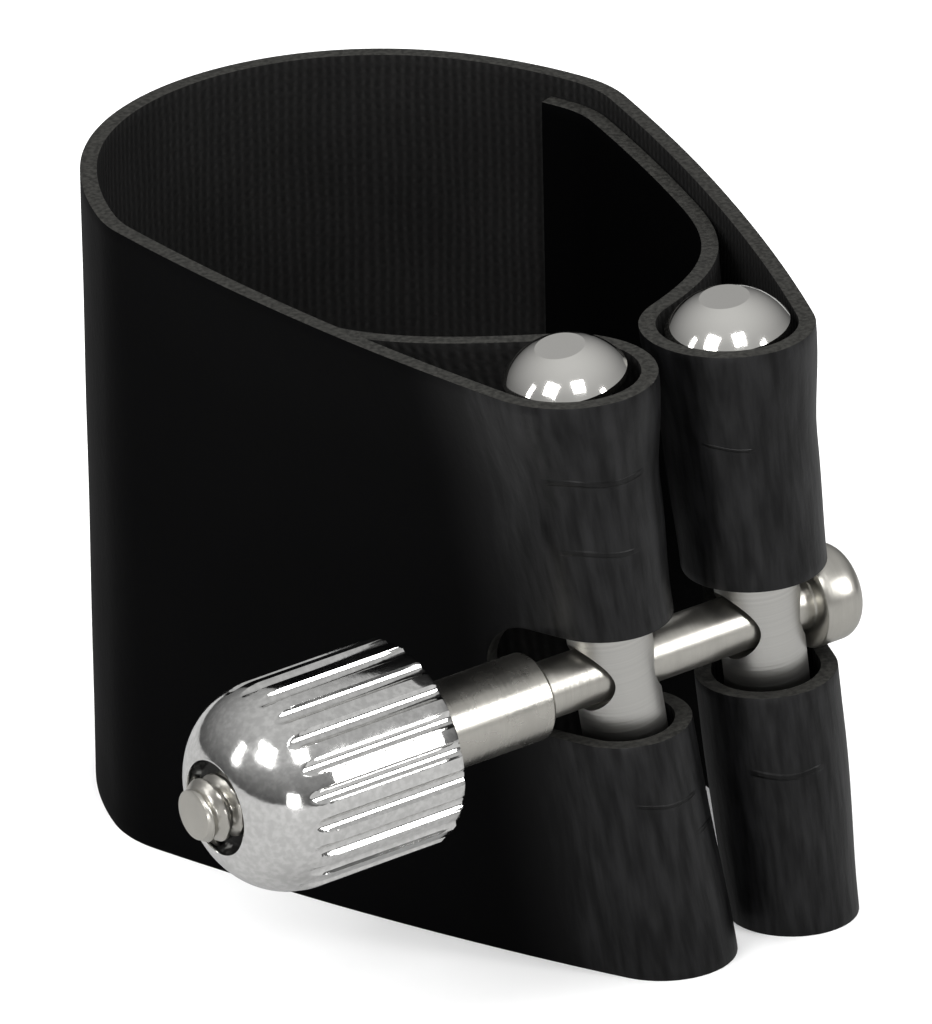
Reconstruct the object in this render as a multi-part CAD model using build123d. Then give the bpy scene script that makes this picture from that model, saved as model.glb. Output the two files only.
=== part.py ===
from build123d import *
import os
from math import atan2, degrees

# A strap ligature for a single-reed mouthpiece: one coated-fabric strip bent into a loop, both ends folded
# round a headed post and glued back, and a long screw with a thumb nut that draws the two posts together.
# Millimetres, +Z along the mouthpiece axis, lower rim on z = 0, origin at the centre of the round back of the loop.
# The clamp screw runs along X with its thumb nut at -X and a little lower than its head; the folded ends are at -Y.

# strip
BAND_HEIGHT = 25.0
STRIP = 0.65  # coated fabric thickness
BOND = 0.1  # glue line between a folded end and the wall it lies on
BACK_R = 10.9  # outer face of the round back
BACK_END = 36.0  # direction, in degrees from +X, at which the round back stops
SHOULDER_R = 16.0
KNEE_START = 17.0  # direction at which the shoulder turns into the side
KNEE_R = 5.0
SIDE_R = 110.0
FOLD_BEND_RIGHT = 13.0  # bend that brings the folded end off the post and onto the side wall
FOLD_BEND_LEFT = 12.0
GLUE_STOP = 0.5  # degrees of side wall left unglued before the fold lifts off it
GLUE_RIGHT = 1.5  # degrees of side wall over which the folded end is glued
GLUE_LEFT = 1.8
GLUE_MARGIN = 1.0  # height left unglued next to each rim
WINDOW_HEIGHT = 4.5  # slot through which the screw crosses the folds
WINDOW_BACK = -17.4

# posts, given at mid-height, with how far each leans by the time it reaches a rim
POST_X = 3.35
POST_Y = -20.3
LEAN_RIGHT = 1.5
LEAN_LEFT = 2.2
LEAN_BACK = 0.25
POCKET_TOP_RIGHT = 3.3  # outer radius of the fold round a post
POCKET_TOP_LEFT = 3.5
POCKET_BOTTOM_RIGHT = 2.5
POCKET_BOTTOM_LEFT = 2.8
POST_D = 3.2
POST_FOOT = 0.8  # lower end of a post above the lower rim
CROSS_HOLE_D = 2.65
HEAD_D = 4.7
HEAD_SKIRT = 0.25
HEAD_DOME = 1.3
HEAD_FACET_D = 1.9
HEAD_SINK = 0.3  # underside of a post head below the upper rim, on the post axis

# clamp screw, sleeve and thumb nut, as positions along the screw from midway between the posts
SCREW_Z = BAND_HEIGHT / 2
SCREW_TILT = 2.5  # the hardware leans in the loop: degrees by which the head end of the screw is raised
SCREW_HEAD_START = 5.15
SCREW_HEAD_D = 3.8
SCREW_HEAD_L = 1.9
SCREW_HEAD_ROUND = 0.7
SHANK_D = 2.2
THREAD_START = -9.0
THREAD_D = 2.5
THREAD_PITCH = 0.635
THREAD_DEPTH = 0.3
SCREW_TIP = -22.4
TIP_BEVEL = 0.3
SLEEVE_START = -7.05
SLEEVE_D = 3.4
SLEEVE_BORE_D = 2.62
SLEEVE_BEVEL = 0.2
NUT_START = -12.8
NUT_D = 8.0
NUT_GRIP_L = 5.6
NUT_DOME_L = 3.0
NUT_BORE_D = 2.56
NUT_RECESS_D = 3.6
NUT_RECESS_DEPTH = 0.9
NUT_RIM_BEVEL = 0.25
FLUTES = 22
FLUTE_R = 0.35
FLUTE_DEPTH = 0.22

ORIGIN = Vector(0, 0)
HARDWARE = Pos(0, POST_Y, SCREW_Z) * Rot(0, -SCREW_TILT, 0)


def polar(centre, radius, angle):
    return centre + Vector(radius, 0).rotate(Axis.Z, angle)


def direction(start, end):
    return degrees(atan2(end.Y - start.Y, end.X - start.X))


def arc(centre, radius, start, end):
    middle = polar(centre, radius, (start + end) / 2)
    return ThreePointArc(polar(centre, radius, start), middle, polar(centre, radius, end))


def circles_meet(centre_a, radius_a, centre_b, radius_b, side):
    # the point radius_a from centre_a and radius_b from centre_b, left (+1) or right (-1) of the line a to b
    gap = centre_b - centre_a
    along = (gap.length**2 + radius_a**2 - radius_b**2) / (2 * gap.length)
    aside = side * (radius_a**2 - along**2) ** 0.5
    heading = gap.normalized()
    return centre_a + heading * along + Vector(-heading.Y, heading.X) * aside


def bends(post, pocket_r, fold_bend, glue):
    # every bend of the strip on the +X side, as centre, outer radius, start and end direction
    fold_depth = 2 * STRIP + BOND
    shoulder = polar(ORIGIN, BACK_R - SHOULDER_R, BACK_END)
    knee = polar(shoulder, SHOULDER_R - KNEE_R, KNEE_START)
    side = circles_meet(knee, SIDE_R - KNEE_R, post, SIDE_R - pocket_r, -1)
    knee_end = direction(side, knee)
    side_end = direction(side, post)
    lift = circles_meet(post, pocket_r + fold_bend, side, SIDE_R - fold_depth - fold_bend, -1)
    pocket_end = direction(post, lift) - 360
    lift_end = direction(side, lift)
    glue_end = lift_end + GLUE_STOP
    fold_end = glue_end + glue
    outward = [
        (shoulder, SHOULDER_R, BACK_END, KNEE_START),
        (knee, KNEE_R, KNEE_START, knee_end),
        (side, SIDE_R, knee_end, fold_end),
        (side, SIDE_R, fold_end, glue_end),
        (side, SIDE_R, glue_end, side_end),
        (post, pocket_r, side_end, pocket_end),
    ]
    folded = [
        (lift, fold_bend, pocket_end + 180, lift_end),
        (side, SIDE_R - fold_depth, lift_end, glue_end),
        (side, SIDE_R - fold_depth, glue_end, fold_end),
    ]
    return outward, folded


def strip_section(post, pocket_r, fold_bend, glue, z):
    outward, folded = bends(post, pocket_r, fold_bend, glue)
    face = [arc(*bend) for bend in outward + folded]
    lining = []
    for centre, radius, start, end in outward:
        lining.append(arc(centre, radius - STRIP, end, start))
    for centre, radius, start, end in folded:
        lining.append(arc(centre, radius + STRIP, end, start))
    free_end = Line(face[-1] @ 1, lining[-1] @ 0)
    seam = Line(lining[0] @ 1, face[0] @ 0)
    return Pos(0, 0, z) * Wire(face + lining + [free_end, seam])


def glue_section(post, pocket_r, fold_bend, glue, z):
    outward, folded = bends(post, pocket_r, fold_bend, glue)
    centre, radius, start, end = outward[3]
    wall = arc(centre, radius - STRIP, start, end)
    centre, radius, start, end = folded[2]
    fold = arc(centre, radius + STRIP, start, end)
    ends = [Line(wall @ 1, fold @ 0), Line(fold @ 1, wall @ 0)]
    return Pos(0, 0, z) * Wire([wall, fold] + ends)


def between_rims(section, post_x, lean, pocket_bottom, pocket_top, fold_bend, glue):
    low = Vector(post_x + lean, POST_Y + LEAN_BACK)
    high = Vector(post_x - lean, POST_Y - LEAN_BACK)
    lower = section(low, pocket_bottom, fold_bend, glue, 0)
    upper = section(high, pocket_top, fold_bend, glue, BAND_HEIGHT)
    return Solid.make_loft([lower, upper], ruled=True)


def half_band(shape, window_tilt):
    front = between_rims(strip_section, *shape)
    outer = arc(ORIGIN, BACK_R, 90, BACK_END)
    inner = arc(ORIGIN, BACK_R - STRIP, BACK_END, 90)
    ends = [Line(outer @ 1, inner @ 0), Line(inner @ 1, outer @ 0)]
    back = extrude(make_face(Wire([outer, inner] + ends)), BAND_HEIGHT, dir=(0, 0, 1))
    reach = 2 * BACK_R
    slot = Box(2 * reach, reach, WINDOW_HEIGHT)
    slot = fillet(slot.edges().filter_by(Axis.X).group_by(Axis.Y)[-1], WINDOW_HEIGHT / 2 - 0.01)
    window = Pos(0, WINDOW_BACK - reach / 2, SCREW_Z) * Rot(0, -window_tilt, 0) * slot
    return back + front - window


def flap_bond(shape):
    glued = BAND_HEIGHT - 2 * GLUE_MARGIN
    return between_rims(glue_section, *shape) & Pos(0, 0, SCREW_Z) * Box(4 * BACK_R, 4 * BACK_R, glued)


def post(x, lean):
    foot = Vector(x + lean, POST_Y + LEAN_BACK, 0)
    top = Vector(x - lean, POST_Y - LEAN_BACK, BAND_HEIGHT)
    up = (top - foot).normalized()
    middle = Plane(origin=(x, POST_Y, SCREW_Z), x_dir=(1, 0, 0), z_dir=up)
    seat = (BAND_HEIGHT / 2 - HEAD_SINK) / up.Z
    shaft_foot = (POST_FOOT - BAND_HEIGHT / 2) / up.Z
    dome_r = ((HEAD_D / 2) ** 2 + HEAD_DOME**2) / (2 * HEAD_DOME)
    facet_drop = dome_r - (dome_r**2 - (HEAD_FACET_D / 2) ** 2) ** 0.5
    shoulder = seat + HEAD_SKIRT
    crown = shoulder + HEAD_DOME
    outline = [
        Line((0, shaft_foot), (POST_D / 2 - TIP_BEVEL, shaft_foot)),
        Line((POST_D / 2 - TIP_BEVEL, shaft_foot), (POST_D / 2, shaft_foot + TIP_BEVEL)),
        Line((POST_D / 2, shaft_foot + TIP_BEVEL), (POST_D / 2, seat)),
        Line((POST_D / 2, seat), (HEAD_D / 2, seat)),
        Line((HEAD_D / 2, seat), (HEAD_D / 2, shoulder)),
    ]
    facet = Vector(HEAD_FACET_D / 2, crown - facet_drop)
    outline.append(RadiusArc(outline[-1] @ 1, facet, -dome_r))
    outline.append(Line(facet, (0, crown - facet_drop)))
    outline.append(Line((0, crown - facet_drop), (0, shaft_foot)))
    pin = revolve(Plane.XZ * make_face(Wire(outline)), Axis.Z)
    hole = HARDWARE * Pos(x, 0, 0) * Rot(0, 90, 0) * Cylinder(CROSS_HOLE_D / 2, 2 * POST_D)
    return middle.location * pin - hole


def turned(points):
    # a body turned about X from (position along X, radius) points
    ring = Polyline(*points, close=True)
    return revolve(Plane.XY * make_face(ring), Axis.X)


def clamp_screw():
    thread_r = THREAD_D / 2
    root_r = thread_r - THREAD_DEPTH
    points = [(SCREW_TIP, 0), (SCREW_TIP, root_r)]
    turns = int((THREAD_START - SCREW_TIP) / THREAD_PITCH)
    for turn in range(turns):
        crest = SCREW_TIP + (turn + 0.5) * THREAD_PITCH
        points.append((crest - THREAD_PITCH / 8, thread_r))
        points.append((crest + THREAD_PITCH / 8, thread_r))
        points.append((SCREW_TIP + (turn + 1) * THREAD_PITCH, root_r))
    points += [(THREAD_START, SHANK_D / 2), (SCREW_HEAD_START, SHANK_D / 2)]
    points += [(SCREW_HEAD_START, SCREW_HEAD_D / 2), (SCREW_HEAD_START + SCREW_HEAD_L, SCREW_HEAD_D / 2)]
    points.append((SCREW_HEAD_START + SCREW_HEAD_L, 0))
    blank = turned(points)
    rim = blank.edges().filter_by(GeomType.CIRCLE).sort_by(Axis.X)[-1]
    return HARDWARE * fillet(rim, SCREW_HEAD_ROUND)


def spacer_sleeve():
    bore, wall = SLEEVE_BORE_D / 2, SLEEVE_D / 2
    return HARDWARE * turned([
        (NUT_START, bore),
        (NUT_START, wall - SLEEVE_BEVEL),
        (NUT_START + SLEEVE_BEVEL, wall),
        (SLEEVE_START - SLEEVE_BEVEL, wall),
        (SLEEVE_START, wall - SLEEVE_BEVEL),
        (SLEEVE_START, bore),
    ])


def thumb_nut():
    nose = NUT_START - NUT_GRIP_L - NUT_DOME_L
    rim = NUT_D / 2
    grip = turned([
        (NUT_START, 0),
        (NUT_START, rim - NUT_RIM_BEVEL),
        (NUT_START - NUT_RIM_BEVEL, rim),
        (NUT_START - NUT_GRIP_L, rim),
        (NUT_START - NUT_GRIP_L, 0),
    ])
    shoulder = Vector(NUT_START - NUT_GRIP_L, rim)
    drop = rim - NUT_RECESS_D / 2
    dome_r = (NUT_DOME_L**2 + drop**2) / (2 * drop)
    crest = RadiusArc(Vector(nose, rim - drop), shoulder, dome_r)
    edge = [crest, Line(shoulder, (shoulder.X, 0)), Line((shoulder.X, 0), (nose, 0)), Line((nose, 0), crest @ 0)]
    dome = revolve(Plane.XY * make_face(Wire(edge)), Axis.X)
    bore = turned([
        (NUT_START, 0),
        (NUT_START, NUT_BORE_D / 2),
        (nose + NUT_RECESS_DEPTH, NUT_BORE_D / 2),
        (nose + NUT_RECESS_DEPTH, NUT_RECESS_D / 2),
        (nose, NUT_RECESS_D / 2),
        (nose, 0),
    ])
    fluted = grip + dome - bore
    flute = Pos((NUT_START + nose) / 2, 0, rim + FLUTE_R - FLUTE_DEPTH) * Rot(0, 90, 0)
    cutter = flute * Cylinder(FLUTE_R, NUT_GRIP_L + NUT_DOME_L)
    for index in range(FLUTES):
        fluted -= cutter.rotate(Axis.X, index * 360 / FLUTES)
    return HARDWARE * fluted


right_shape = (POST_X, LEAN_RIGHT, POCKET_BOTTOM_RIGHT, POCKET_TOP_RIGHT, FOLD_BEND_RIGHT, GLUE_RIGHT)
left_shape = (POST_X, -LEAN_LEFT, POCKET_BOTTOM_LEFT, POCKET_TOP_LEFT, FOLD_BEND_LEFT, GLUE_LEFT)
pieces = {
    "band_right": half_band(right_shape, SCREW_TILT),
    "band_left": mirror(half_band(left_shape, -SCREW_TILT), about=Plane.YZ),
    "right_flap_bond": flap_bond(right_shape),
    "left_flap_bond": mirror(flap_bond(left_shape), about=Plane.YZ),
    "right_post": post(POST_X, LEAN_RIGHT),
    "left_post": post(-POST_X, LEAN_LEFT),
    "clamp_screw": clamp_screw(),
    "spacer_sleeve": spacer_sleeve(),
    "thumb_nut": thumb_nut(),
}

os.makedirs("parts", exist_ok=True)
for name, piece in pieces.items():
    export_step(piece, f"parts/{name}.step")
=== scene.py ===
import math
import bpy
from mathutils import Matrix, Vector, noise


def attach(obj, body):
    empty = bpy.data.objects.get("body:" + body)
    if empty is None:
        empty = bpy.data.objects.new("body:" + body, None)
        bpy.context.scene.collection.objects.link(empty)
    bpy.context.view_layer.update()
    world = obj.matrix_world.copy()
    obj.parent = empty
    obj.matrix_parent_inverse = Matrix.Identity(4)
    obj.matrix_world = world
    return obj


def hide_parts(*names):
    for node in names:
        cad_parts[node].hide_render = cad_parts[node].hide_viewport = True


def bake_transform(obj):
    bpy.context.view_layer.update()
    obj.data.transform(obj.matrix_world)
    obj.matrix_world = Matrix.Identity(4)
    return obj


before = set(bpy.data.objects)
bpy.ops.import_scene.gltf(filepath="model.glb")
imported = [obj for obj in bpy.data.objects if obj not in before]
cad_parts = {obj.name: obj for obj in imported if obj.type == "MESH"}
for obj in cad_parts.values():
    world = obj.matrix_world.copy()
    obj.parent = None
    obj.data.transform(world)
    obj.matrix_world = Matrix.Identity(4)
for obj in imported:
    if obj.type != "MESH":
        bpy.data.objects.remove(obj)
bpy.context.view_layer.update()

MM = 0.001

# strip, posts and screw, in millimetres, as the CAD states them
BAND_HEIGHT = 25.0
STRIP = 0.65
BOND = 0.1
BACK_R = 10.9
BACK_END = 36.0
SHOULDER_R = 16.0
KNEE_START = 17.0
KNEE_R = 5.0
SIDE_R = 110.0
GLUE_LEFT = 2.3  # degrees of side wall that the left folded end lies on
FLAP_RIGHT = 21.0  # direction on the shoulder at which the right folded end stops
FLAP_DROP = 0.8  # how far the folded ends' upper edges lie below the rim once they reach the wall
WINDOW_HEIGHT = 4.5
WINDOW_BACK = -17.4
POST_X = 3.35
POST_Y = -20.3
LEAN_BACK = 0.25
SCREW_Z = BAND_HEIGHT / 2
SCREW_TILT = math.radians(2.5)
RIGHT = {"side": 1, "lean": 1.5, "fold_bend": 13.0, "radii": (2.5, 2.7, 2.75, 2.9, 3.3)}
LEFT = {"side": -1, "lean": -2.2, "fold_bend": 12.0, "radii": (2.8, 2.6, 2.55, 2.85, 3.5)}
LEVELS = (0.0, 8.0, 15.0, 20.0, 25.0)  # heights at which the radii of a fold round its post are given

# clamp screw and thumb nut, as positions along the screw from midway between the posts
SCREW_HEAD_START = 5.15
SCREW_HEAD_D = 3.8
SCREW_HEAD_L = 1.9
SCREW_HEAD_ROUND = 0.7
SHANK_D = 2.2
THREAD_START = -9.0
THREAD_D = 2.5
THREAD_PITCH = 0.635
THREAD_DEPTH = 0.3
SCREW_TIP = -22.4
NUT_START = -12.8
NUT_D = 8.0
NUT_GRIP_L = 5.6
NUT_DOME_L = 3.0
NUT_BORE_D = 2.56
NUT_RECESS_D = 3.6
NUT_RECESS_DEPTH = 0.9
NUT_RIM_BEVEL = 0.25
FLUTES = 22
FLUTE_R = 0.35
FLUTE_DEPTH = 0.22
HEAD_SINK = 0.3

# how finely the strip is meshed
PATH_STEP = 0.02  # spacing at which its middle line is measured
ALONG = 0.32
ACROSS = 0.5
ROW = 0.5
WINDOW_REACH = 2.3  # either side of a window's end, columns follow NEAR_WINDOW instead of ALONG
NEAR_WINDOW = [0.0, 0.02, 0.07, 0.15, 0.26, 0.4, 0.58, 0.8, 1.05, 1.35, 1.7, 2.0, 2.24]
EDGE_ROUND = 0.09
EDGE_ANGLE = 50  # degrees above which a corner counts as a cut edge
WAVE = 0.05
WAVE_LENGTH = 7.0
WAVE_SEED = 1  # without a seed the vector noise starts from the clock

# how the surfaces look
WEAVE = 0.4  # spacing of the lining's ribs
FACE_GLOSS = 0.02
FOLD_GLOSS = 0.34
BRUSHED = 0.7

# how finely the screw and the nut are turned
PER_PITCH = 12  # stations along one turn of the thread
AROUND = 72
THREAD_CREST = 1.35  # a thread rises steeply and is cut off flat at the crest
THREAD_FLANK = 3.2
DOME_STEPS = 48
IN_FLUTE = (-0.97, -0.85, -0.65, -0.42, -0.2, 0.0, 0.2, 0.42, 0.65, 0.85, 0.97)  # shares of half a flute
PAST_FLUTE = (1.03, 1.12)
ON_LAND = (0.3, 0.5, 0.7)  # shares of the land between two flutes

# floor and surroundings
FLOOR_SIZE = 0.6
FLOOR_TONE = 0.9
FLOOR_IN_METAL = 0.34  # tone of the floor as reflections see it
WORLD_DIFFUSE = 0.9
SKY_LOW = 0.10  # brightness of the surroundings in reflections, near the floor and overhead
SKY_HIGH = 0.62


def direction(start, end):
    return math.degrees(math.atan2(end[1] - start[1], end[0] - start[0]))


def polar(centre, radius, angle):
    a = math.radians(angle)
    return Vector((centre[0] + radius * math.cos(a), centre[1] + radius * math.sin(a)))


def circles_meet(centre_a, radius_a, centre_b, radius_b):
    gap = centre_b - centre_a
    along = (gap.length_squared + radius_a**2 - radius_b**2) / (2 * gap.length)
    aside = -math.sqrt(radius_a**2 - along**2)
    heading = gap.normalized()
    return centre_a + heading * along + Vector((-heading[1], heading[0])) * aside


def bends(post, pocket_r, shape):
    """Every bend of one half, back to folded end: centre, face radius, lining radius, start and end."""
    depth = 2 * STRIP + BOND
    fold_bend = shape["fold_bend"]
    shoulder = polar((0, 0), BACK_R - SHOULDER_R, BACK_END)
    knee = polar(shoulder, SHOULDER_R - KNEE_R, KNEE_START)
    side = circles_meet(knee, SIDE_R - KNEE_R, post, SIDE_R - pocket_r)
    knee_end = direction(side, knee)
    lift = circles_meet(post, pocket_r + fold_bend, side, SIDE_R - depth - fold_bend)
    pocket_end = direction(post, lift) - 360
    lift_end = direction(side, lift)
    outward = [
        (Vector((0, 0)), BACK_R, 90, BACK_END),
        (shoulder, SHOULDER_R, BACK_END, KNEE_START),
        (knee, KNEE_R, KNEE_START, knee_end),
        (side, SIDE_R, knee_end, direction(side, post)),
        (post, pocket_r, direction(side, post), pocket_end),
    ]
    if shape["side"] > 0:
        folded = [
            (lift, fold_bend, pocket_end + 180, lift_end),
            (side, SIDE_R - depth, lift_end, knee_end),
            (knee, KNEE_R - depth, knee_end, KNEE_START),
            (shoulder, SHOULDER_R - depth, KNEE_START, FLAP_RIGHT),
        ]
    else:
        folded = [
            (lift, fold_bend, pocket_end + 180, lift_end),
            (side, SIDE_R - depth, lift_end, lift_end + GLUE_LEFT),
        ]
    chain = [(c, r, r - STRIP, a, b) for c, r, a, b in outward]
    chain += [(c, r, r + STRIP, a, b) for c, r, a, b in folded]
    return chain


def level_bends(shape, z):
    """One half's bends at a height: the post leans and its fold widens towards the post's head."""
    away = (z - SCREW_Z) / SCREW_Z
    post = Vector((POST_X - shape["lean"] * away, POST_Y - LEAN_BACK * away))
    at = max(k for k in range(len(LEVELS) - 1) if LEVELS[k] <= z)
    share = (z - LEVELS[at]) / (LEVELS[at + 1] - LEVELS[at])
    share = share * share * (3 - 2 * share)
    pocket_r = shape["radii"][at] * (1 - share) + shape["radii"][at + 1] * share
    return bends(post, pocket_r, shape)


def on_strip(shape, levels, bend, share, z, layer):
    """A point of one half in millimetres: layer 0 is the face and 1 the lining."""
    at = min(int(z / ROW), len(levels) - 2)
    blend = z / ROW - at
    ends = []
    for centre, face_r, lining_r, start, end in (levels[at][bend], levels[at + 1][bend]):
        ends.append(polar(centre, (face_r, lining_r)[layer], start + (end - start) * share))
    flat = ends[0] * (1 - blend) + ends[1] * blend
    return Vector((flat[0] * shape["side"], flat[1], z))


def half_columns(shape):
    """Columns of the strip from the middle of the back to one folded end, each with its distance along."""
    levels = [level_bends(shape, k * ROW) for k in range(round(BAND_HEIGHT / ROW) + 1)]
    middle = levels[len(levels) // 2]
    raw = []
    for bend, (centre, face_r, lining_r, start, end) in enumerate(middle):
        length = math.radians(abs(end - start)) * max(face_r, lining_r)
        steps = max(3, math.ceil(length / PATH_STEP))
        for step in range(steps):
            raw.append((bend, step / steps))
    raw.append((len(middle) - 1, 1.0))
    path = [on_strip(shape, levels, bend, share, SCREW_Z, 0) for bend, share in raw]
    distance = [0.0]
    for before, after in zip(path, path[1:]):
        distance.append(distance[-1] + (after - before).length)
    crossings = []
    for i in range(1, len(path)):
        if (path[i].y < WINDOW_BACK) != (path[i - 1].y < WINDOW_BACK):
            crossings.append(distance[i])
    first, last = crossings[0], crossings[-1]
    wanted = [i * ALONG for i in range(int(distance[-1] / ALONG) + 1)] + [distance[-1]]
    wanted = [w for w in wanted if min(abs(w - first), abs(w - last)) >= WINDOW_REACH]
    for near in NEAR_WINDOW:
        wanted += [first + near, last - near]
        if near:
            wanted += [first - near, last + near]
    wanted = sorted(w for w in set(wanted) if 0 <= w <= distance[-1])
    columns, at = [], 0
    for w in wanted:
        while at < len(distance) - 1 and distance[at] < w:
            at += 1
        open_half = 0.0
        if first < w < last:
            open_half = window_half(min(w - first, last - w)) / math.cos(SCREW_TILT)
        middle_z = SCREW_Z + path[at].x * math.tan(SCREW_TILT)
        bend, share = raw[at]
        lifted = 0.0 if bend < 5 else 1.0 if bend > 5 else share * share * (3 - 2 * share)
        columns.append({
            "shape": shape, "levels": levels, "bend": bend, "share": share,
            "drop": FLAP_DROP * lifted, "s": w * shape["side"], "open": open_half, "middle": middle_z,
        })
    return columns


def window_half(inside):
    reach = WINDOW_HEIGHT / 2
    if inside >= reach:
        return reach
    return math.sqrt(reach**2 - (reach - inside) ** 2)


noise.seed_set(WAVE_SEED)


def waviness(p):
    """Hand-made unevenness: a slow drift that neighbouring layers share, fading out at the rims' heights."""
    fade = min(1.0, p.z / 2, (BAND_HEIGHT - p.z) / 2)
    drift = noise.noise_vector(p / WAVE_LENGTH) * WAVE
    return Vector((drift.x, drift.y, 0)) * (0.4 + 0.6 * fade)


def strap_mesh(columns):
    rows = round(BAND_HEIGHT / 2 / ACROSS)
    vertices, faces, materials, coordinates = [], [], [], []
    index = {}

    def vertex(i, block, row, layer):
        column = columns[i]
        shut = column["open"] == 0.0
        if block == 1 and row == 0 and shut:
            block, row = 0, rows
        key = (i, block, row, layer)
        if key not in index:
            share = row / rows
            if block == 0:
                z = (column["middle"] - column["open"]) * share
            else:
                edge = column["middle"] + column["open"]
                z = edge + (BAND_HEIGHT - edge) * share
            z *= 1 - column["drop"] / BAND_HEIGHT
            p = on_strip(column["shape"], column["levels"], column["bend"], column["share"], z, layer)
            index[key] = len(vertices)
            vertices.append((p + waviness(p)) * MM)
            coordinates.append((column["s"], z))
        return index[key]

    def quad(a, b, c, d, material):
        loop = []
        for v in (a, b, c, d):
            if v not in loop:
                loop.append(v)
        if len(loop) > 2:
            faces.append(loop)
            materials.append(material)

    for i in range(len(columns) - 1):
        for block in (0, 1):
            for row in range(rows):
                quad(vertex(i, block, row, 0), vertex(i + 1, block, row, 0),
                     vertex(i + 1, block, row + 1, 0), vertex(i, block, row + 1, 0), 0)
                quad(vertex(i, block, row + 1, 1), vertex(i + 1, block, row + 1, 1),
                     vertex(i + 1, block, row, 1), vertex(i, block, row, 1), 1)
        quad(vertex(i, 0, 0, 1), vertex(i + 1, 0, 0, 1),
             vertex(i + 1, 0, 0, 0), vertex(i, 0, 0, 0), 2)
        quad(vertex(i, 1, rows, 0), vertex(i + 1, 1, rows, 0),
             vertex(i + 1, 1, rows, 1), vertex(i, 1, rows, 1), 2)
        if columns[i]["open"] or columns[i + 1]["open"]:
            quad(vertex(i, 0, rows, 0), vertex(i + 1, 0, rows, 0),
                 vertex(i + 1, 0, rows, 1), vertex(i, 0, rows, 1), 2)
            quad(vertex(i, 1, 0, 1), vertex(i + 1, 1, 0, 1),
                 vertex(i + 1, 1, 0, 0), vertex(i, 1, 0, 0), 2)
    for i, flip in ((0, False), (len(columns) - 1, True)):
        for block in (0, 1):
            for row in range(rows):
                loop = [vertex(i, block, row, 1), vertex(i, block, row, 0),
                        vertex(i, block, row + 1, 0), vertex(i, block, row + 1, 1)]
                quad(*(loop[::-1] if flip else loop), 2)
    mesh = bpy.data.meshes.new("strap")
    mesh.from_pydata(vertices, [], faces)
    for polygon, material in zip(mesh.polygons, materials):
        polygon.material_index = material
    layer = mesh.uv_layers.new(name="strip_mm")
    for loop in mesh.loops:
        layer.data[loop.index].uv = coordinates[loop.vertex_index]
    mesh.update()
    return mesh


def shade(obj, angle):
    """Smooth shading, except across edges sharper than the angle in degrees."""
    bpy.context.view_layer.objects.active = obj
    for other in bpy.context.selected_objects:
        other.select_set(False)
    obj.select_set(True)
    bpy.ops.object.shade_smooth_by_angle(angle=math.radians(angle))


def bake(obj):
    graph = bpy.context.evaluated_depsgraph_get()
    done = bpy.data.meshes.new_from_object(obj.evaluated_get(graph))
    obj.modifiers.clear()
    obj.data = done


class Nodes:
    """A short way to wire one material's nodes."""

    def __init__(self, name):
        self.material = bpy.data.materials.new(name)
        self.material.use_nodes = True
        self.tree = self.material.node_tree
        self.shader = self.tree.nodes["Principled BSDF"]

    def add(self, kind, inputs=(), **settings):
        node = self.tree.nodes.new(kind)
        for key, value in settings.items():
            setattr(node, key, value)
        for key, value in dict(inputs).items():
            self.put(node.inputs[key], value)
        return node

    def put(self, socket, value):
        if hasattr(value, "is_output"):
            self.tree.links.new(value, socket)
        else:
            socket.default_value = value

    def math(self, operation, *values):
        node = self.add("ShaderNodeMath", operation=operation)
        for socket, value in zip(node.inputs, values):
            self.put(socket, value)
        return node.outputs[0]

    def vector(self, operation, *values):
        return self.add("ShaderNodeVectorMath", dict(enumerate(values)), operation=operation)

    def mix(self, share, low, high):
        return self.math("ADD", low, self.math("MULTIPLY", share, self.math("SUBTRACT", high, low)))

    def ramp(self, value, low, high):
        node = self.add("ShaderNodeMapRange", {"Value": value, "From Min": low, "From Max": high},
                        interpolation_type="SMOOTHSTEP")
        return node.outputs["Result"]

    def noise(self, vector, scale, detail=3.0):
        node = self.add("ShaderNodeTexNoise", {"Vector": vector, "Scale": scale, "Detail": detail})
        return node.outputs[0]

    def bump(self, height, depth_mm):
        node = self.add("ShaderNodeBump", {"Height": height, "Distance": depth_mm * MM, "Strength": 1.0})
        self.put(self.shader.inputs["Normal"], node.outputs[0])

    def finish(self, **values):
        for key, value in values.items():
            self.put(self.shader.inputs[key.replace("_", " ")], value)
        return self.material

    def grey(self, value, tint=(1, 1, 1)):
        node = self.add("ShaderNodeCombineColor")
        for socket, share in zip(node.inputs, tint):
            self.put(socket, self.math("MULTIPLY", value, share))
        return node.outputs[0]


def strip_coordinates(n):
    uv = n.add("ShaderNodeUVMap", uv_map="strip_mm").outputs[0]
    parts = n.add("ShaderNodeSeparateXYZ", {"Vector": uv})
    return uv, parts.outputs[0], parts.outputs[1]


def stretched(n, vector, across, up):
    return n.add("ShaderNodeMapping", {"Vector": vector, "Scale": (across, up, 1)}).outputs[0]


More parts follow.
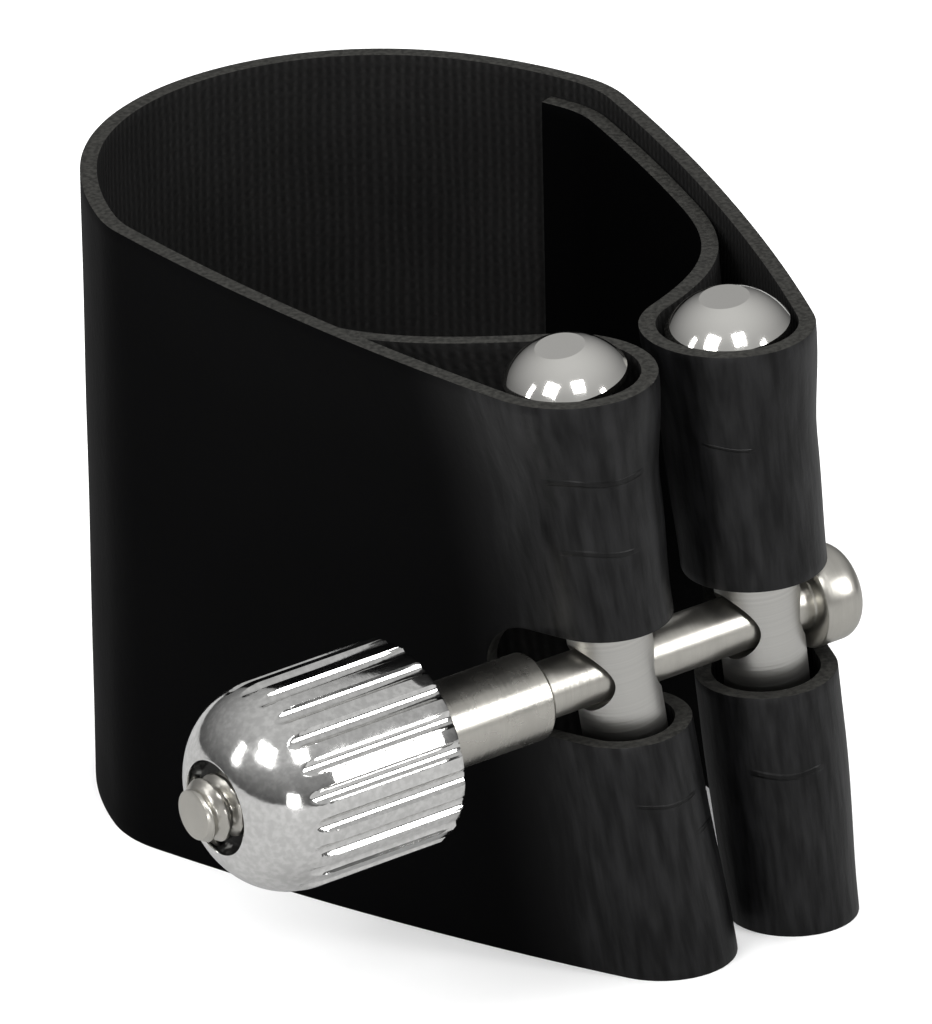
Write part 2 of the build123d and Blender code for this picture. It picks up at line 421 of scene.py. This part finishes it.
def face_finish(creases, folds):
    """Smooth dull coating; pulled round the posts it is satin, streaked up and down and creased. On the folds
    the streaks also lighten the colour as a painted sheen, and the creases are darkened with painted shade.
    """
    n = Nodes("strap_face")
    uv, along, height = strip_coordinates(n)
    grain = n.noise(stretched(n, uv, 3.2, 2.2), 1.0, 4.0)
    streaks_and_sheen = n.noise(stretched(n, uv, 2.4, 0.35), 1.0, 5.0)
    patches = n.noise(stretched(n, uv, 0.22, 0.16), 1.0, 2.0)
    pulled = 0.0
    for s_mm in folds:
        away = n.math("ABSOLUTE", n.math("SUBTRACT", along, s_mm))
        pulled = n.math("ADD", pulled, n.math("SUBTRACT", 1.0, n.ramp(away, 2.5, 7.5)))
    streaks_and_sheen = n.math("MULTIPLY", streaks_and_sheen, pulled)
    crease_dents_and_shade = 0.0
    for s_mm, z_mm, half, width in creases:
        wander = n.math("MULTIPLY", n.math("SINE", n.math("MULTIPLY", along, 1.9)), 0.09)
        level = n.math("ADD", n.math("SUBTRACT", height, z_mm), wander)
        line = n.math("SUBTRACT", 1.0, n.ramp(n.math("ABSOLUTE", level), width * 0.35, width))
        beside = n.math("ABSOLUTE", n.math("SUBTRACT", along, s_mm))
        reach = n.math("SUBTRACT", 1.0, n.ramp(beside, half * 0.7, half))
        crease_dents_and_shade = n.math("ADD", crease_dents_and_shade, n.math("MULTIPLY", line, reach))
    crease_dents_and_shade = n.math("MINIMUM", crease_dents_and_shade, 1.0)
    uneven = n.math("MULTIPLY", n.math("ADD", patches, streaks_and_sheen), 0.12)
    rough = n.math("ADD", n.mix(pulled, 0.52, 0.30), uneven)
    # painted sheen: on the folds the streaks lighten the colour up to about fourfold, standing in for their
    # satin highlight
    tone = n.mix(n.ramp(streaks_and_sheen, 0.3, 0.8), 0.0011, 0.0050)
    satin = n.math("MULTIPLY", pulled, n.mix(n.ramp(streaks_and_sheen, 0.2, 0.8), 0.45, 1.0))
    gloss = n.mix(satin, FACE_GLOSS, FOLD_GLOSS)
    # painted shade: the colour along the creases is darkened by up to 0.85, while the same lines dent the
    # bump
    tone = n.math("MULTIPLY", tone, n.math("SUBTRACT", 1.0, n.math("MULTIPLY", crease_dents_and_shade, 0.85)))
    relief = n.math("ADD", n.math("MULTIPLY", grain, 0.22), n.math("MULTIPLY", streaks_and_sheen, 0.4))
    n.bump(n.math("SUBTRACT", relief, crease_dents_and_shade), 0.045)
    colour = n.grey(tone, (0.97, 0.98, 1.08))
    return n.finish(Base_Color=colour, Roughness=rough, Specular_IOR_Level=gloss)


def lining_finish():
    """Close plain weave with its warp standing up as ribs."""
    n = Nodes("strap_lining")
    uv, along, height = strip_coordinates(n)
    sway = n.math("MULTIPLY", n.noise(stretched(n, uv, 0.9, 0.35), 1.0, 3.0), 5.0)
    warp = n.math("SINE", n.math("ADD", n.math("MULTIPLY", along, 2 * math.pi / WEAVE), sway))
    weft = n.math("SINE", n.math("ADD", n.math("MULTIPLY", height, 2 * math.pi / (WEAVE * 1.25)), sway))
    crossing = n.math("MULTIPLY", n.math("MULTIPLY", warp, weft), 0.3)
    cloth = n.math("ADD", n.math("MULTIPLY", warp, 0.7), crossing)
    fuzz = n.noise(stretched(n, uv, 5.0, 5.0), 1.0, 3.0)
    wear = n.noise(stretched(n, uv, 0.35, 0.3), 1.0, 3.0)
    tone = n.mix(n.ramp(cloth, -0.9, 1.1), 0.0058, 0.0112)
    tone = n.math("MULTIPLY", tone, n.mix(fuzz, 0.6, 1.4))
    tone = n.math("MULTIPLY", tone, n.mix(wear, 0.7, 1.3))
    n.bump(n.math("ADD", cloth, n.math("MULTIPLY", fuzz, 0.8)), 0.022)
    colour = n.grey(tone, (1.0, 0.98, 0.96))
    return n.finish(Base_Color=colour, Roughness=0.85, Specular_IOR_Level=0.12)


def rim_finish():
    """Cut edge: the cloth core shows as short fibres between the coatings."""
    n = Nodes("strap_rim")
    place = n.add("ShaderNodeTexCoord").outputs["Object"]
    fibres = n.noise(place, 5200.0, 3.0)
    tone = n.mix(n.ramp(fibres, 0.3, 0.7), 0.010, 0.026)
    n.bump(fibres, 0.03)
    colour = n.grey(tone, (1.0, 0.98, 0.88))
    return n.finish(Base_Color=colour, Roughness=0.8, Specular_IOR_Level=0.2)


def glue_finish():
    n = Nodes("glue")
    place = n.add("ShaderNodeTexCoord").outputs["Object"]
    lumps = n.noise(place, 1500.0)
    n.bump(lumps, 0.02)
    return n.finish(Base_Color=n.grey(n.mix(lumps, 0.006, 0.014)), Roughness=0.55)


def post_finish(name, x, lean):
    """Lathe marks round the shaft draw its highlights out lengthwise; the head is polished."""
    n = Nodes(name)
    away = Vector((-2 * lean, -2 * LEAN_BACK, BAND_HEIGHT)).normalized()
    middle = Vector((x, POST_Y, SCREW_Z))
    place = n.add("ShaderNodeTexCoord").outputs["Object"]
    offset = n.vector("SUBTRACT", place, middle * MM).outputs[0]
    level = n.math("DIVIDE", n.vector("DOT_PRODUCT", offset, away).outputs["Value"], MM)
    turned = n.add("ShaderNodeTexNoise", {"W": level, "Scale": 9.0, "Detail": 4.0}, noise_dimensions="1D")
    marks = turned.outputs[0]
    smudge = n.noise(place, 900.0, 3.0)
    head = n.ramp(level, SCREW_Z - HEAD_SINK, SCREW_Z - HEAD_SINK + 0.2)
    shaft = n.math("SUBTRACT", 1.0, head)
    rough = n.mix(head, n.mix(marks, 0.30, 0.38), n.mix(smudge, 0.05, 0.12))
    n.bump(n.math("MULTIPLY", marks, shaft), 0.006)
    tone = n.mix(head, n.mix(marks, 0.50, 0.62), 0.82)
    around = n.add("ShaderNodeTangent", direction_type="RADIAL", axis="Z").outputs[0]
    return n.finish(Base_Color=n.grey(tone, (1.0, 0.985, 0.94)), Metallic=1.0, Roughness=rough,
                    Anisotropic=n.math("MULTIPLY", shaft, BRUSHED), Tangent=around)


def screw_finish(name, low, high):
    """Satin plate with marks round the axis and a little tarnish."""
    n = Nodes(name)
    place = n.add("ShaderNodeTexCoord").outputs["Object"]
    drawn = n.add("ShaderNodeMapping", {"Vector": place, "Scale": (6000, 500, 500)}).outputs[0]
    marks = n.noise(drawn, 1.0, 4.0)
    stain = n.noise(place, 700.0, 4.0)
    tone = n.math("MULTIPLY", n.mix(stain, 0.42, 0.62), n.mix(marks, 0.9, 1.05))
    n.bump(marks, 0.010)
    colour = n.grey(tone, (1.0, 0.97, 0.89))
    return n.finish(Base_Color=colour, Metallic=1.0, Roughness=n.mix(stain, low, high))


def nut_finish():
    """Bright plate, faintly clouded and pitted; the recess round the thread is darkened with painted shade.
    """
    n = Nodes("nut_plate")
    place = n.add("ShaderNodeTexCoord").outputs["Object"]
    cloud = n.noise(place, 600.0, 4.0)
    pits = n.noise(place, 4200.0, 3.0)
    rough = n.mix(n.ramp(cloud, 0.4, 0.7), 0.08, 0.17)
    tone = n.mix(n.ramp(pits, 0.35, 0.7), 0.66, 0.80)
    offset = n.vector("SUBTRACT", place, HARDWARE.translation).outputs[0]
    across = n.vector("CROSS_PRODUCT", offset, HARDWARE.col[0].xyz).outputs[0]
    radius = n.vector("LENGTH", across).outputs["Value"]
    # painted shade: inside the recess round the thread the plate's tone drops to 0.12 of its own
    painted_recess_shade = n.ramp(n.math("DIVIDE", radius, MM), NUT_RECESS_D / 2 - 0.02, NUT_RECESS_D / 2 + 0.03)
    tone = n.math("MULTIPLY", tone, n.mix(painted_recess_shade, 0.12, 1.0))
    n.bump(n.math("ADD", n.math("MULTIPLY", cloud, 0.8), n.math("MULTIPLY", pits, 0.35)), 0.007)
    return n.finish(Base_Color=n.grey(tone, (1.0, 0.995, 0.975)), Metallic=1.0, Roughness=rough)


HARDWARE = Matrix.Translation((0, POST_Y * MM, SCREW_Z * MM)) @ Matrix.Rotation(-SCREW_TILT, 4, "Y")


def lathe(name, rings, angles, closed):
    """A body round the screw axis: each ring gives, for an angle, its place along the screw and radius."""
    vertices, faces = [], []
    around = len(angles)
    for ring in rings:
        for angle in angles:
            x, radius = ring(angle)
            vertices.append(HARDWARE @ (Vector((x, radius * math.cos(angle), radius * math.sin(angle))) * MM))
    count = len(rings) if closed else len(rings) - 1
    for i in range(count):
        for j in range(around):
            a, b = i * around, (i + 1) % len(rings) * around
            k = (j + 1) % around
            faces.append((a + j, a + k, b + k, b + j))
    if not closed:
        faces.append(tuple(range(around))[::-1])
        last = (len(rings) - 1) * around
        faces.append(tuple(last + j for j in range(around)))
    mesh = bpy.data.meshes.new(name)
    mesh.from_pydata(vertices, [], faces)
    obj = bpy.data.objects.new(name, mesh)
    bpy.context.scene.collection.objects.link(obj)
    return obj


def ring(x, radius):
    return lambda angle: (x, radius)


def thread_ring(x):
    """One station of the thread: the crest winds once round the screw in a pitch."""
    root = THREAD_D / 2 - THREAD_DEPTH
    fade = min(1.0, (x - SCREW_TIP) / THREAD_PITCH, (THREAD_START - x) / THREAD_PITCH)

    def at(angle):
        turn = (x / THREAD_PITCH - angle / (2 * math.pi)) % 1.0
        crest = min(1.0, max(0.0, THREAD_CREST - THREAD_FLANK * abs(turn - 0.5)))
        return x, root + THREAD_DEPTH * crest * max(0.0, fade)
    return at


def screw_object():
    root = THREAD_D / 2 - THREAD_DEPTH
    rings = [ring(SCREW_TIP, root - 0.25), ring(SCREW_TIP, root - 0.12)]
    stations = round((THREAD_START - SCREW_TIP) / THREAD_PITCH * PER_PITCH)
    for k in range(1, stations):
        rings.append(thread_ring(SCREW_TIP + (THREAD_START - SCREW_TIP) * k / stations))
    rings += [ring(THREAD_START, SHANK_D / 2 - 0.02), ring(THREAD_START + 0.1, SHANK_D / 2)]
    rings += [ring(SCREW_HEAD_START - 0.05, SHANK_D / 2), ring(SCREW_HEAD_START, SHANK_D / 2 + 0.05)]
    head_r, head_end = SCREW_HEAD_D / 2, SCREW_HEAD_START + SCREW_HEAD_L
    rings += [ring(SCREW_HEAD_START, head_r - 0.1), ring(SCREW_HEAD_START + 0.03, head_r - 0.03)]
    rings.append(ring(SCREW_HEAD_START + 0.1, head_r))
    for k in range(9):
        a = math.radians(90 - 90 * k / 8)
        x = head_end - SCREW_HEAD_ROUND * (1 - math.cos(a))
        rings.append(ring(x, head_r - SCREW_HEAD_ROUND * (1 - math.sin(a))))
    angles = [2 * math.pi * k / AROUND for k in range(AROUND)]
    return lathe("screw_turned", rings, angles, False)


def nut_object():
    rim = NUT_D / 2
    cutter = rim + FLUTE_R - FLUTE_DEPTH
    edge = math.acos((cutter**2 + rim**2 - FLUTE_R**2) / (2 * cutter * rim))
    step = 2 * math.pi / FLUTES
    clear = PAST_FLUTE[-1]
    angles = []
    for flute in range(FLUTES):
        for share in IN_FLUTE + PAST_FLUTE:
            angles.append(flute * step + edge * share)
        for share in ON_LAND:
            angles.append(flute * step + edge * clear + (step - 2 * clear * edge) * share)
        for share in reversed(PAST_FLUTE):
            angles.append(flute * step + step - edge * share)

    def fluted(x, radius):
        def at(angle):
            off = (angle + step / 2) % step - step / 2
            inside = FLUTE_R**2 - (cutter * math.sin(off)) ** 2
            if inside <= 0:
                return x, radius
            return x, min(radius, cutter * math.cos(off) - math.sqrt(inside))
        return at

    nose = NUT_START - NUT_GRIP_L - NUT_DOME_L
    rings = [ring(NUT_START, NUT_BORE_D / 2), ring(NUT_START, rim - 3 * NUT_RIM_BEVEL)]
    for x, radius in ((0, rim - NUT_RIM_BEVEL), (0.08, rim - 0.09), (NUT_RIM_BEVEL, rim)):
        rings.append(fluted(NUT_START - x, radius))
    for k in range(1, 9):
        rings.append(fluted(NUT_START - NUT_RIM_BEVEL - (NUT_GRIP_L - NUT_RIM_BEVEL) * k / 8, rim))
    drop = rim - NUT_RECESS_D / 2 - 0.12
    dome_r = (NUT_DOME_L**2 + drop**2) / (2 * drop)
    steepest = math.asin(NUT_DOME_L / dome_r)
    for k in range(1, DOME_STEPS + 1):
        a = steepest * k / DOME_STEPS
        x = NUT_START - NUT_GRIP_L - dome_r * math.sin(a)
        rings.append(fluted(x, rim - dome_r * (1 - math.cos(a))))
    rings += [ring(nose + 0.02, NUT_RECESS_D / 2 + 0.04), ring(nose + 0.12, NUT_RECESS_D / 2)]
    rings += [ring(nose + NUT_RECESS_DEPTH, NUT_RECESS_D / 2), ring(nose + NUT_RECESS_DEPTH, NUT_BORE_D / 2)]
    return lathe("nut_turned", rings, sorted(angles), True)


def fold_middle(columns, toward):
    """Distance along the strip at which a fold round its post faces a direction, in degrees from +X."""
    best = None
    for column in columns:
        if column["bend"] != 4:
            continue
        centre, face_r, lining_r, start, end = column["levels"][0][4]
        angle = start + (end - start) * column["share"]
        angle = angle if column["shape"]["side"] > 0 else 180 - angle
        gap = abs((angle - toward + 180) % 360 - 180)
        if best is None or gap < best[0]:
            best = (gap, column["s"])
    return best[1]


left_columns = half_columns(LEFT)
right_columns = half_columns(RIGHT)
left_front = fold_middle(left_columns, -100)
right_front = fold_middle(right_columns, -115)
# creases: distance along the strip, height, half length and width
CREASES = [
    (left_front, 21.5, 1.9, 0.17), (left_front + 0.3, 18.4, 1.5, 0.15), (left_front - 3.5, 5.8, 2.2, 0.12),
    (left_front - 0.5, 7.4, 1.4, 0.10), (right_front, 7.0, 1.6, 0.16), (right_front + 0.6, 21.0, 1.0, 0.08),
]
strap_face = face_finish(CREASES, (left_front, right_front))
strap_lining = lining_finish()
strap_rim = rim_finish()
glue = glue_finish()
plate = screw_finish("screw_plate", 0.24, 0.40)
sleeve_plate = screw_finish("sleeve_plate", 0.20, 0.34)
chrome = nut_finish()

strap = bpy.data.objects.new("strap", strap_mesh(left_columns[::-1] + right_columns[1:]))
bpy.context.scene.collection.objects.link(strap)
for m in (strap_face, strap_lining, strap_rim):
    strap.data.materials.append(m)
rounding = strap.modifiers.new("rounding", "BEVEL")
rounding.width = EDGE_ROUND * MM
rounding.segments = 2
rounding.limit_method = "ANGLE"
rounding.angle_limit = math.radians(EDGE_ANGLE)
rounding.use_clamp_overlap = True
bake(strap)
shade(strap, 40)
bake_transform(strap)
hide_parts("band_right", "band_left")

screw = screw_object()
screw.data.materials.append(plate)
shade(screw, 35)
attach(screw, "screw_side")
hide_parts("clamp_screw")

nut = nut_object()
nut.data.materials.append(chrome)
shade(nut, 28)
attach(nut, "nut")
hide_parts("thumb_nut")

finishes = {
    "right_post": post_finish("right_post_plate", POST_X, RIGHT["lean"]),
    "left_post": post_finish("left_post_plate", -POST_X, -LEFT["lean"]),
    "spacer_sleeve": sleeve_plate, "right_flap_bond": glue, "left_flap_bond": glue,
}
for node, finish in finishes.items():
    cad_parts[node].data.materials.clear()
    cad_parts[node].data.materials.append(finish)

# floor, light and camera
bpy.ops.mesh.primitive_plane_add(size=FLOOR_SIZE, location=(0, 0, 0))
floor = bpy.context.object
floor.name = "floor"
n = Nodes("floor")
seen = n.add("ShaderNodeLightPath").outputs["Is Glossy Ray"]
paint = n.grey(n.mix(seen, FLOOR_TONE, FLOOR_IN_METAL))
floor.data.materials.append(n.finish(Base_Color=paint, Roughness=0.9, Specular_IOR_Level=0.0))

world = bpy.data.worlds.new("studio")
bpy.context.scene.world = world
world.use_nodes = True
tree = world.node_tree
background = tree.nodes["Background"]
background.inputs["Color"].default_value = (1, 1, 1, 1)
path = tree.nodes.new("ShaderNodeLightPath")


def world_math(operation, *values):
    node = tree.nodes.new("ShaderNodeMath")
    node.operation = operation
    for socket, value in zip(node.inputs, values):
        if hasattr(value, "is_output"):
            tree.links.new(value, socket)
        else:
            socket.default_value = value
    return node.outputs[0]


# reflections see a sky that brightens upwards, the camera sees plain white
heading = tree.nodes.new("ShaderNodeSeparateXYZ")
tree.links.new(tree.nodes.new("ShaderNodeTexCoord").outputs["Generated"], heading.inputs[0])
height = world_math("MAXIMUM", heading.outputs[2], 0.0)
sky = world_math("MULTIPLY_ADD", height, SKY_HIGH - SKY_LOW, SKY_LOW)
glossy = world_math("MULTIPLY", sky, path.outputs["Is Glossy Ray"])
other = world_math("MULTIPLY", WORLD_DIFFUSE, world_math("SUBTRACT", 1.0, path.outputs["Is Glossy Ray"]))
lit = world_math("ADD", glossy, other)
tree.links.new(world_math("MAXIMUM", lit, path.outputs["Is Camera Ray"]), background.inputs["Strength"])

AIM = Vector((0, -0.01, 0.012))


def softbox(name, azimuth, elevation, distance, width, height, power, mirrored=True):
    """A panel aimed at the ligature: angles in degrees, sizes in metres, power in watts."""
    lamp = bpy.data.lights.new(name, "AREA")
    lamp.shape = "RECTANGLE"
    lamp.size, lamp.size_y = width, height
    lamp.energy = power
    a, e = math.radians(azimuth), math.radians(elevation)
    toward = Vector((math.sin(a) * math.cos(e), -math.cos(a) * math.cos(e), math.sin(e)))
    obj = bpy.data.objects.new(name, lamp)
    obj.visible_glossy = mirrored
    obj.location = AIM + toward * distance
    obj.rotation_euler = (-toward).to_track_quat("-Z", "Y").to_euler()
    bpy.context.scene.collection.objects.link(obj)


softbox("key", -74, 44, 0.5, 0.17, 0.17, 0.9)
softbox("second", -14, 52, 0.5, 0.15, 0.15, 0.8)
softbox("side", 30, 24, 0.5, 0.07, 0.24, 0.8)
softbox("rim", -110, 26, 0.5, 0.06, 0.20, 0.25)
softbox("front", -34.6, 4, 0.5, 0.12, 0.10, 0.45)
softbox("top", 160, 80, 0.6, 0.40, 0.40, 2.0, mirrored=False)

# the camera keeps the viewing angle and the distance of a product shot, close in on the ligature
CAMERA_AZIMUTH = math.radians(-34.6)
CAMERA_ELEVATION = math.radians(24.0)
CAMERA_ROLL = math.radians(1.1)
CAMERA_DISTANCE = 0.9
CAMERA_LENS = 836
CAMERA_TARGET = Vector((0, -0.00075, 0.0125))
CAMERA_RIGHT = 0.00299
CAMERA_DOWN = 0.00157
back = Vector((math.sin(CAMERA_AZIMUTH) * math.cos(CAMERA_ELEVATION),
               -math.cos(CAMERA_AZIMUTH) * math.cos(CAMERA_ELEVATION), math.sin(CAMERA_ELEVATION)))
level = Vector((math.cos(CAMERA_AZIMUTH), math.sin(CAMERA_AZIMUTH), 0))
upright = back.cross(level)
right = level * math.cos(CAMERA_ROLL) - upright * math.sin(CAMERA_ROLL)
up = level * math.sin(CAMERA_ROLL) + upright * math.cos(CAMERA_ROLL)
place = CAMERA_TARGET + back * CAMERA_DISTANCE + right * CAMERA_RIGHT - up * CAMERA_DOWN
camera_data = bpy.data.cameras.new("camera")
camera_data.lens = CAMERA_LENS
camera_data.sensor_width = 36
camera_data.clip_start, camera_data.clip_end = 0.05, 5
camera = bpy.data.objects.new("camera", camera_data)
bpy.context.scene.collection.objects.link(camera)
turn = Matrix((right, up, back)).transposed().to_4x4()
camera.matrix_world = Matrix.Translation(place) @ turn
bpy.context.scene.camera = camera
bpy.context.scene.view_settings.view_transform = "Standard"

bpy.context.view_layer.update()
